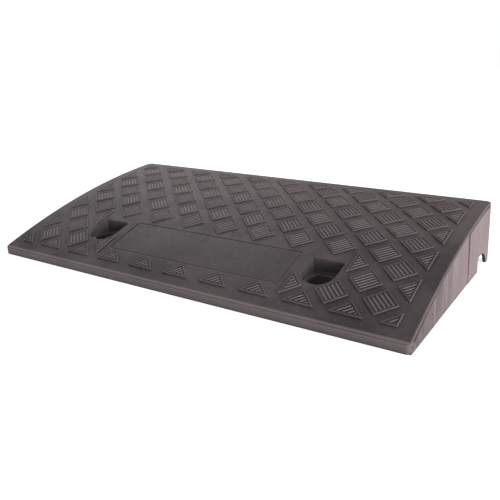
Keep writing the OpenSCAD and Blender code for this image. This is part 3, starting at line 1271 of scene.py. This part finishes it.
@dataclass
class Walls:
    """The outer walls below the deck: front lip, rear wall, side panels and cheeks."""

    ramp: Ramp
    sunk: float = 2.9 * MM
    flush_sunk: float = 1.1 * MM
    foot_radius: float = 1.2 * MM
    rear_corner: float = 4 * MM
    arm: float = 2 * MM
    panel_proud: float = 0.1 * MM
    cheek_proud: float = 0.4 * MM
    leg_proud: float = 0.7 * MM
    cheek_draft: float = 0.022
    panel_draft: float = 0.035
    edge: float = 0.7 * MM
    # Height of the band of painted shade below the deck's edge, also the width of the wall's flat edge strip
    shade_band: float = 0.9 * MM
    toe_stretch_end: float = -62.5 * MM
    toe_stretch_proud: float = 0.15 * MM
    notch_radius: float = 7 * MM
    notch_sweep: float = 22 * MM
    notch_height: float = 15.5 * MM
    notch_front: float = 79.5 * MM
    notch_back: float = 115 * MM
    rear_gap: float = 6 * MM

    def wall_section(self, top: Place, foot: float = 0.0, inset: float = 0.0) -> Section:
        """Section of a wall whose outer edge is rounded at the foot.

        Args:
            top: placer of its upper end.
            foot: height of its foot.
            inset: how far the whole wall is drawn in.

        Returns:
            Pairs of inset and placer, from the top down.
        """
        round_off = self.foot_radius
        return [
            (inset, top),
            (inset, level(foot + round_off)),
            (inset + round_off * 0.3, level(foot + round_off * 0.3)),
            (inset + round_off, level(foot)),
        ]

    @property
    def cheek_lean(self) -> Lean:
        """Lean of the cheeks and of the rear wall's two ends."""
        return Lean(self.cheek_draft, self.leg_proud, self.notch_front, self.ramp.curve.rear_y)

    def build_front_lip(self) -> None:
        """Builds the low wall under the front edge."""
        ramp = self.ramp
        moulding = Moulding()
        front = ramp.curve.front_y + ramp.tuck
        lip = LongWall(ramp.half_length - ramp.tuck, front, ramp.front_corner, -1, ramp.wall, self.arm)
        moulding.solid(lip.whole(), self.wall_section(ramp.curve.sheet(-self.flush_sunk)))
        dress(moulding.finish("front_lip_wall"), LIP_FINISH, "front_lip", "front_lip")

    def build_rear_wall(self) -> None:
        """Builds the upright wall that faces the kerb, with a gap below it from leg to leg."""
        ramp = self.ramp
        moulding = Moulding()
        half_x, end_y = ramp.half_length + self.cheek_proud, ramp.curve.rear_y - ramp.tuck
        wall = LongWall(half_x, end_y, self.rear_corner, 1, ramp.wall, self.arm)
        main = self.wall_section(ramp.curve.sheet(-self.flush_sunk), self.rear_gap)
        lower = self.wall_section(level(self.rear_gap + 3 * MM), 0.0, 0.03 * MM)
        for outline, section in ((wall.whole(), main), *((wall.leg(side), lower) for side in Side)):
            moulding.solid(outline, [(inset, self.cheek_lean.lay(place)) for inset, place in section])
        dress(moulding.finish("rear_wall_plate"), WALL_FINISH, "side_wall", "rear_wall")

    def under_deck(self, start: float, stop: float) -> list[Point]:
        """Y and Z points of a side wall's upper edge, from one Y to another."""
        return self.ramp.under_skin(start, stop, self.sunk, 6 * MM)

    def side_section(self, side: Side, proud: float, lean: Lean) -> Section:
        """Section of a leaning side wall with rounded edges.

        Args:
            side: which end of the ramp.
            proud: how far its outer face stands out past the deck at the ground.
            lean: how it departs from upright.

        Returns:
            Pairs of inset and placer.
        """
        outer = self.ramp.half_length + proud

        def at_depth(depth: float) -> Place:
            """Placer at a depth below the outer face."""
            return lean.lay(upright(side.value * (outer - depth)))

        return edge_section(at_depth, self.ramp.wall, self.edge, 0.4 * MM, self.shade_band)

    def build_side_panel(self, side: Side) -> None:
        """Builds the long panel of one side, whose toe stretch stands a little proud.

        Args:
            side: which end of the ramp.
        """
        ramp = self.ramp
        node = f"{side.word}_side_panel"
        front = ramp.lip_back - 1.5 * MM
        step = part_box(node)[1].y + 2 * MM
        moulding = Moulding()
        for start, stop, proud in (
            (front, self.toe_stretch_end, self.toe_stretch_proud),
            (self.toe_stretch_end - 2 * MM, step, 0.0),
        ):
            points = [(start, 0.0), (stop, 0.0), *self.under_deck(stop, start)]
            section = self.side_section(side, self.panel_proud + proud, Lean(self.panel_draft))
            moulding.solid(Outline(points), section)
        self.dress_side(moulding, node)

    def build_cheek(self, side: Side) -> None:
        """Builds the rear stretch of one side, which stands proud and holds the notch.

        Args:
            side: which end of the ramp.
        """
        ramp = self.ramp
        node = f"{side.word}_cheek"
        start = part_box(node)[0].y
        end = ramp.curve.rear_y - self.rear_corner - self.arm + 0.3 * MM
        radius, sweep = self.notch_radius, self.notch_sweep
        drop = sweep - self.notch_height
        sweep_y = self.notch_back - math.sqrt(sweep**2 - drop**2)
        arch = arc((self.notch_front + radius, self.notch_height - radius), radius, 180, 90, 8)
        arch += arc((sweep_y, -drop), sweep, 90, math.degrees(math.asin(drop / sweep)), 14)
        points = [(start, 0.0), (self.notch_front, 0.0), *arch, (end, 0.0), *self.under_deck(end, start)]
        moulding = Moulding()
        moulding.solid(Outline(points), self.side_section(side, self.cheek_proud, self.cheek_lean))
        self.dress_side(moulding, node)

    def dress_side(self, moulding: Moulding, node: str) -> None:
        """Dresses a side wall, and paints shade on its inner face, its top in the groove, its foot, the
        panel's step and the notch's edge.

        Args:
            moulding: the wall's mesh.
            node: the CAD node that it replaces.
        """
        plate = dress(moulding.finish(f"{node}_plate"), WALL_FINISH, "side_wall", node)
        outwards = math.copysign(1.0, plate.data.vertices[0].co.x)
        notch = (self.notch_front - MM, self.notch_back + 2 * MM)
        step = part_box("right_cheek")[0].y + MM

        def inward_or_notch_shade(centre: Vector, normal: Vector) -> bool:
            """Tells the faces that look inwards or into the notch, which take painted shade."""
            in_notch = notch[0] < centre.y < notch[1] and centre.z < self.notch_height + MM
            return normal.x * outwards < -0.5 or (in_notch and normal.x * outwards < 0.6)

        def in_painted_shade(centre: Vector, normal: Vector) -> bool:
            """Tells the faces painted with shade: in the groove under the deck, at the foot and at the
            panel's step.
            """
            high = self.ramp.curve.lift_of(centre) > -(self.sunk + self.edge + self.shade_band)
            return high or centre.z < 0.5 * MM or (normal.y < -0.5 and abs(centre.y - step) < 2 * MM)

        # Painted shade: a darker colour on the inner faces and the notch's edges, and dark brown on the
        # groove, the foot and the step
        shade(plate, INNER_AND_SHADE_FINISH, inward_or_notch_shade)
        shade(plate, SHADE_LINE_FINISH, in_painted_shade)


@dataclass
class Underside:
    """The stiffening ribs and the cable channel under the deck."""

    ramp: Ramp
    ribs: int = 9
    edge: float = 0.4 * MM
    sunk: float = 2.0 * MM
    panel_reach: float = 2.4 * MM
    cheek_reach: float = 1.5 * MM
    lap: float = 0.5 * MM

    def rib_faces(self) -> list[Point]:
        """X of the two faces of each cross rib, from left to right."""
        boxes = [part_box(f"cross_rib_{i + 1}") for i in range(self.ribs)]
        return [(low.x, high.x) for low, high in boxes]

    def add_plate(
        self, moulding: Moulding, points: list[Point], faces: Point, place: Callable[[float], Place]
    ) -> None:
        """Adds a plate with rounded edges.

        Args:
            moulding: the mesh to add to.
            points: the plate's outline.
            faces: where its two faces stand on the axis that is square to it.
            place: gives the placer at a point of that axis.
        """
        near, far = faces
        section = edge_section(lambda depth: place(near + depth), far - near, self.edge, self.edge)
        moulding.solid(Outline(points), section)

    def add_lengthways(self, moulding: Moulding, faces: Point, ends: Point, foot: float) -> None:
        """Adds a plate that runs front to rear and follows the deck.

        Args:
            moulding: the mesh to add to.
            faces: X of its two faces.
            ends: Y of its front and rear ends.
            foot: height of its lower edge.
        """
        top = self.ramp.under_skin(ends[1], ends[0], self.sunk, 8 * MM)
        self.add_plate(moulding, [(ends[0], foot), (ends[1], foot), *top], faces, upright)

    def add_sideways(self, moulding: Moulding, faces: Point, ends: Point) -> None:
        """Adds a plate that runs along the kerb.

        Args:
            moulding: the mesh to add to.
            faces: Y of its two faces.
            ends: X of its two ends.
        """
        top = self.ramp.curve.z_at(sum(faces) / 2, -self.sunk)
        points = [(ends[0], 0.0), (ends[1], 0.0), (ends[1], top), (ends[0], top)]
        self.add_plate(moulding, points, faces, crosswise)

    def build_cross_ribs(self) -> None:
        """Builds the ribs that run front to rear."""
        for i, faces in enumerate(self.rib_faces(), 1):
            node = f"cross_rib_{i}"
            low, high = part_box(node)
            moulding = Moulding()
            self.add_lengthways(moulding, faces, (low.y - self.ramp.tuck, high.y), 0.0)
            dress(moulding.finish(f"{node}_plate"), INNER_AND_SHADE_FINISH, "rib", node)

    def build_long_ribs(self) -> None:
        """Builds the segments of the ribs that run along the kerb, one in each bay."""
        for node in ("toe_long_rib", "middle_long_rib", "rear_long_rib"):
            low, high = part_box(node)
            inner = [x for faces in self.rib_faces() for x in faces]
            walls = [low.x - self.panel_reach, *inner, high.x + self.panel_reach]
            moulding = Moulding()
            for start, stop in zip(walls[::2], walls[1::2]):
                self.add_sideways(moulding, (low.y, high.y), (start - self.lap, stop + self.lap))
            dress(moulding.finish(f"{node}_beams"), INNER_AND_SHADE_FINISH, "rib", node)

    def build_channel(self) -> None:
        """Builds the front wall of the cable channel and the gussets over it."""
        low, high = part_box("channel_wall")
        moulding = Moulding()
        self.add_sideways(moulding, (low.y, high.y), (low.x - self.cheek_reach, high.x + self.cheek_reach))
        dress(moulding.finish("channel_wall_plate"), INNER_AND_SHADE_FINISH, "rib", "channel_wall")
        low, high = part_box("channel_gussets")
        moulding = Moulding()
        for faces in self.rib_faces():
            self.add_lengthways(moulding, faces, (low.y - self.lap, high.y + self.lap), low.z)
        dress(moulding.finish("channel_gussets_plates"), INNER_AND_SHADE_FINISH, "rib", "channel_gussets")


@dataclass(frozen=True)
class PhotoCamera:
    """The camera at the photograph's viewing angle, from a fit to the ramp's corners and pads."""

    place: Point = (373.1 * MM, -529.3 * MM)
    height: float = 227.1 * MM
    yaw: float = 31.92
    pitch: float = 16.537
    roll: float = -0.894
    focal: float = 43.25
    shift: Point = (-0.0423, -0.0474)

    def build(self) -> None:
        """Adds the camera and makes it the scene's own."""
        data = bpy.data.cameras.new("photo_camera")
        data.lens = self.focal
        data.sensor_width = 36
        data.shift_x, data.shift_y = self.shift
        camera = bpy.data.objects.new("photo_camera", data)
        stand = Matrix.Translation((*self.place, self.height))
        for angle, axis in ((self.yaw, "Z"), (90 - self.pitch, "X"), (self.roll, "Z")):
            stand = stand @ Matrix.Rotation(math.radians(angle), 4, axis)
        camera.matrix_world = stand
        bpy.context.scene.collection.objects.link(camera)
        bpy.context.scene.camera = camera


@dataclass(frozen=True)
class Softbox:
    """A square area lamp that faces the ramp."""

    name: str
    place: tuple[float, float, float]
    size: float
    watts: float

    def build(self) -> None:
        """Adds the lamp."""
        data = bpy.data.lights.new(self.name, "AREA")
        data.shape = "SQUARE"
        data.size = self.size
        data.energy = self.watts
        lamp = bpy.data.objects.new(self.name, data)
        aim = -Vector(self.place)
        turn = aim.to_track_quat("-Z", "Y").to_matrix().to_4x4()
        lamp.matrix_world = Matrix.Translation(self.place) @ turn
        bpy.context.scene.collection.objects.link(lamp)


@dataclass
class Studio:
    """The pale floor, the soft lamps and the white surroundings."""

    floor_size: float = 12.0
    ambient: float = 0.38
    floor_glow: float = 0.68

    def build(self) -> None:
        """Builds the floor, the lamps and the world."""
        self.build_floor()
        self.build_world()
        for lamp in (
            Softbox("side_softbox", (4.1, -1.3, 0.75), 1.3, 210.0),
            Softbox("rear_softbox", (-0.9, 0.7, 0.9), 0.8, 5.0),
        ):
            lamp.build()

    @staticmethod
    def seen_ray(tree: bpy.types.NodeTree) -> bpy.types.Node:
        """Adds nodes that tell the rays by which the surroundings are seen.

        Args:
            tree: the node tree of the floor or the world.

        Returns:
            The node that gives 1 for what the camera sees, straight or in a gloss or glass, and 0 for light.
        """
        rays = add_node(tree, "ShaderNodeLightPath").outputs
        seen = rays["Is Camera Ray"]
        for ray in ("Is Transmission Ray", "Is Glossy Ray"):
            seen = add_node(tree, "ShaderNodeMath", {0: seen, 1: rays[ray]}, operation="ADD", use_clamp=True)
        return seen

    def build_floor(self) -> None:
        """Adds the floor, which the camera sees as white apart from the ramp's shadow."""
        half = self.floor_size / 2
        corners = [(-half, -half), (half, -half), (half, half), (-half, half)]
        moulding = Moulding()
        moulding.mesh.faces.new(moulding.ring(corners, level(0)))
        floor = moulding.finish("studio_floor")
        material = bpy.data.materials.new("studio_floor")
        tree = empty_tree(material)
        paper = add_node(tree, "ShaderNodeBsdfDiffuse", {"Color": linear("#f2f2f2")})
        glow = add_node(tree, "ShaderNodeEmission", {"Color": linear("#ffffff"), "Strength": self.floor_glow})
        both = add_node(tree, "ShaderNodeAddShader", {0: paper, 1: glow})
        seen = add_node(tree, "ShaderNodeMixShader", {0: self.seen_ray(tree), 1: paper, 2: both})
        add_node(tree, "ShaderNodeOutputMaterial", {"Surface": seen})
        floor.data.materials.append(material)

    def build_world(self) -> None:
        """Sets a dim even light that the camera sees as white."""
        world = bpy.data.worlds.new("studio")
        bpy.context.scene.world = world
        tree = empty_tree(world)
        seen = self.seen_ray(tree)
        strength = add_node(tree, "ShaderNodeMapRange", {"Value": seen, "To Min": self.ambient})
        light = add_node(tree, "ShaderNodeBackground", {"Color": linear("#ffffff"), "Strength": strength})
        add_node(tree, "ShaderNodeOutputWorld", {"Surface": light})


def main() -> None:
    """Builds the ramp, the studio and the camera."""
    logging.basicConfig(level=logging.INFO, format="%(name)s %(message)s")
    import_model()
    bpy.context.scene.view_settings.view_transform = "Standard"
    PhotoCamera().build()
    ramp = Ramp.from_frame()

    deck = Deck(ramp)
    deck.build_skin()
    deck.build_panel()

    tread = Tread(ramp)
    for row in range(2 * tread.rows + 1):
        tread.build_row(row)

    walls = Walls(ramp)
    walls.build_front_lip()
    walls.build_rear_wall()

    underside = Underside(ramp)
    underside.build_cross_ribs()
    underside.build_long_ribs()
    underside.build_channel()

    for side in Side:
        BoltWell(ramp, side).build()
        walls.build_side_panel(side)
        walls.build_cheek(side)

    Studio().build()
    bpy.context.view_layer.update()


if __name__ == "__main__":
    main()
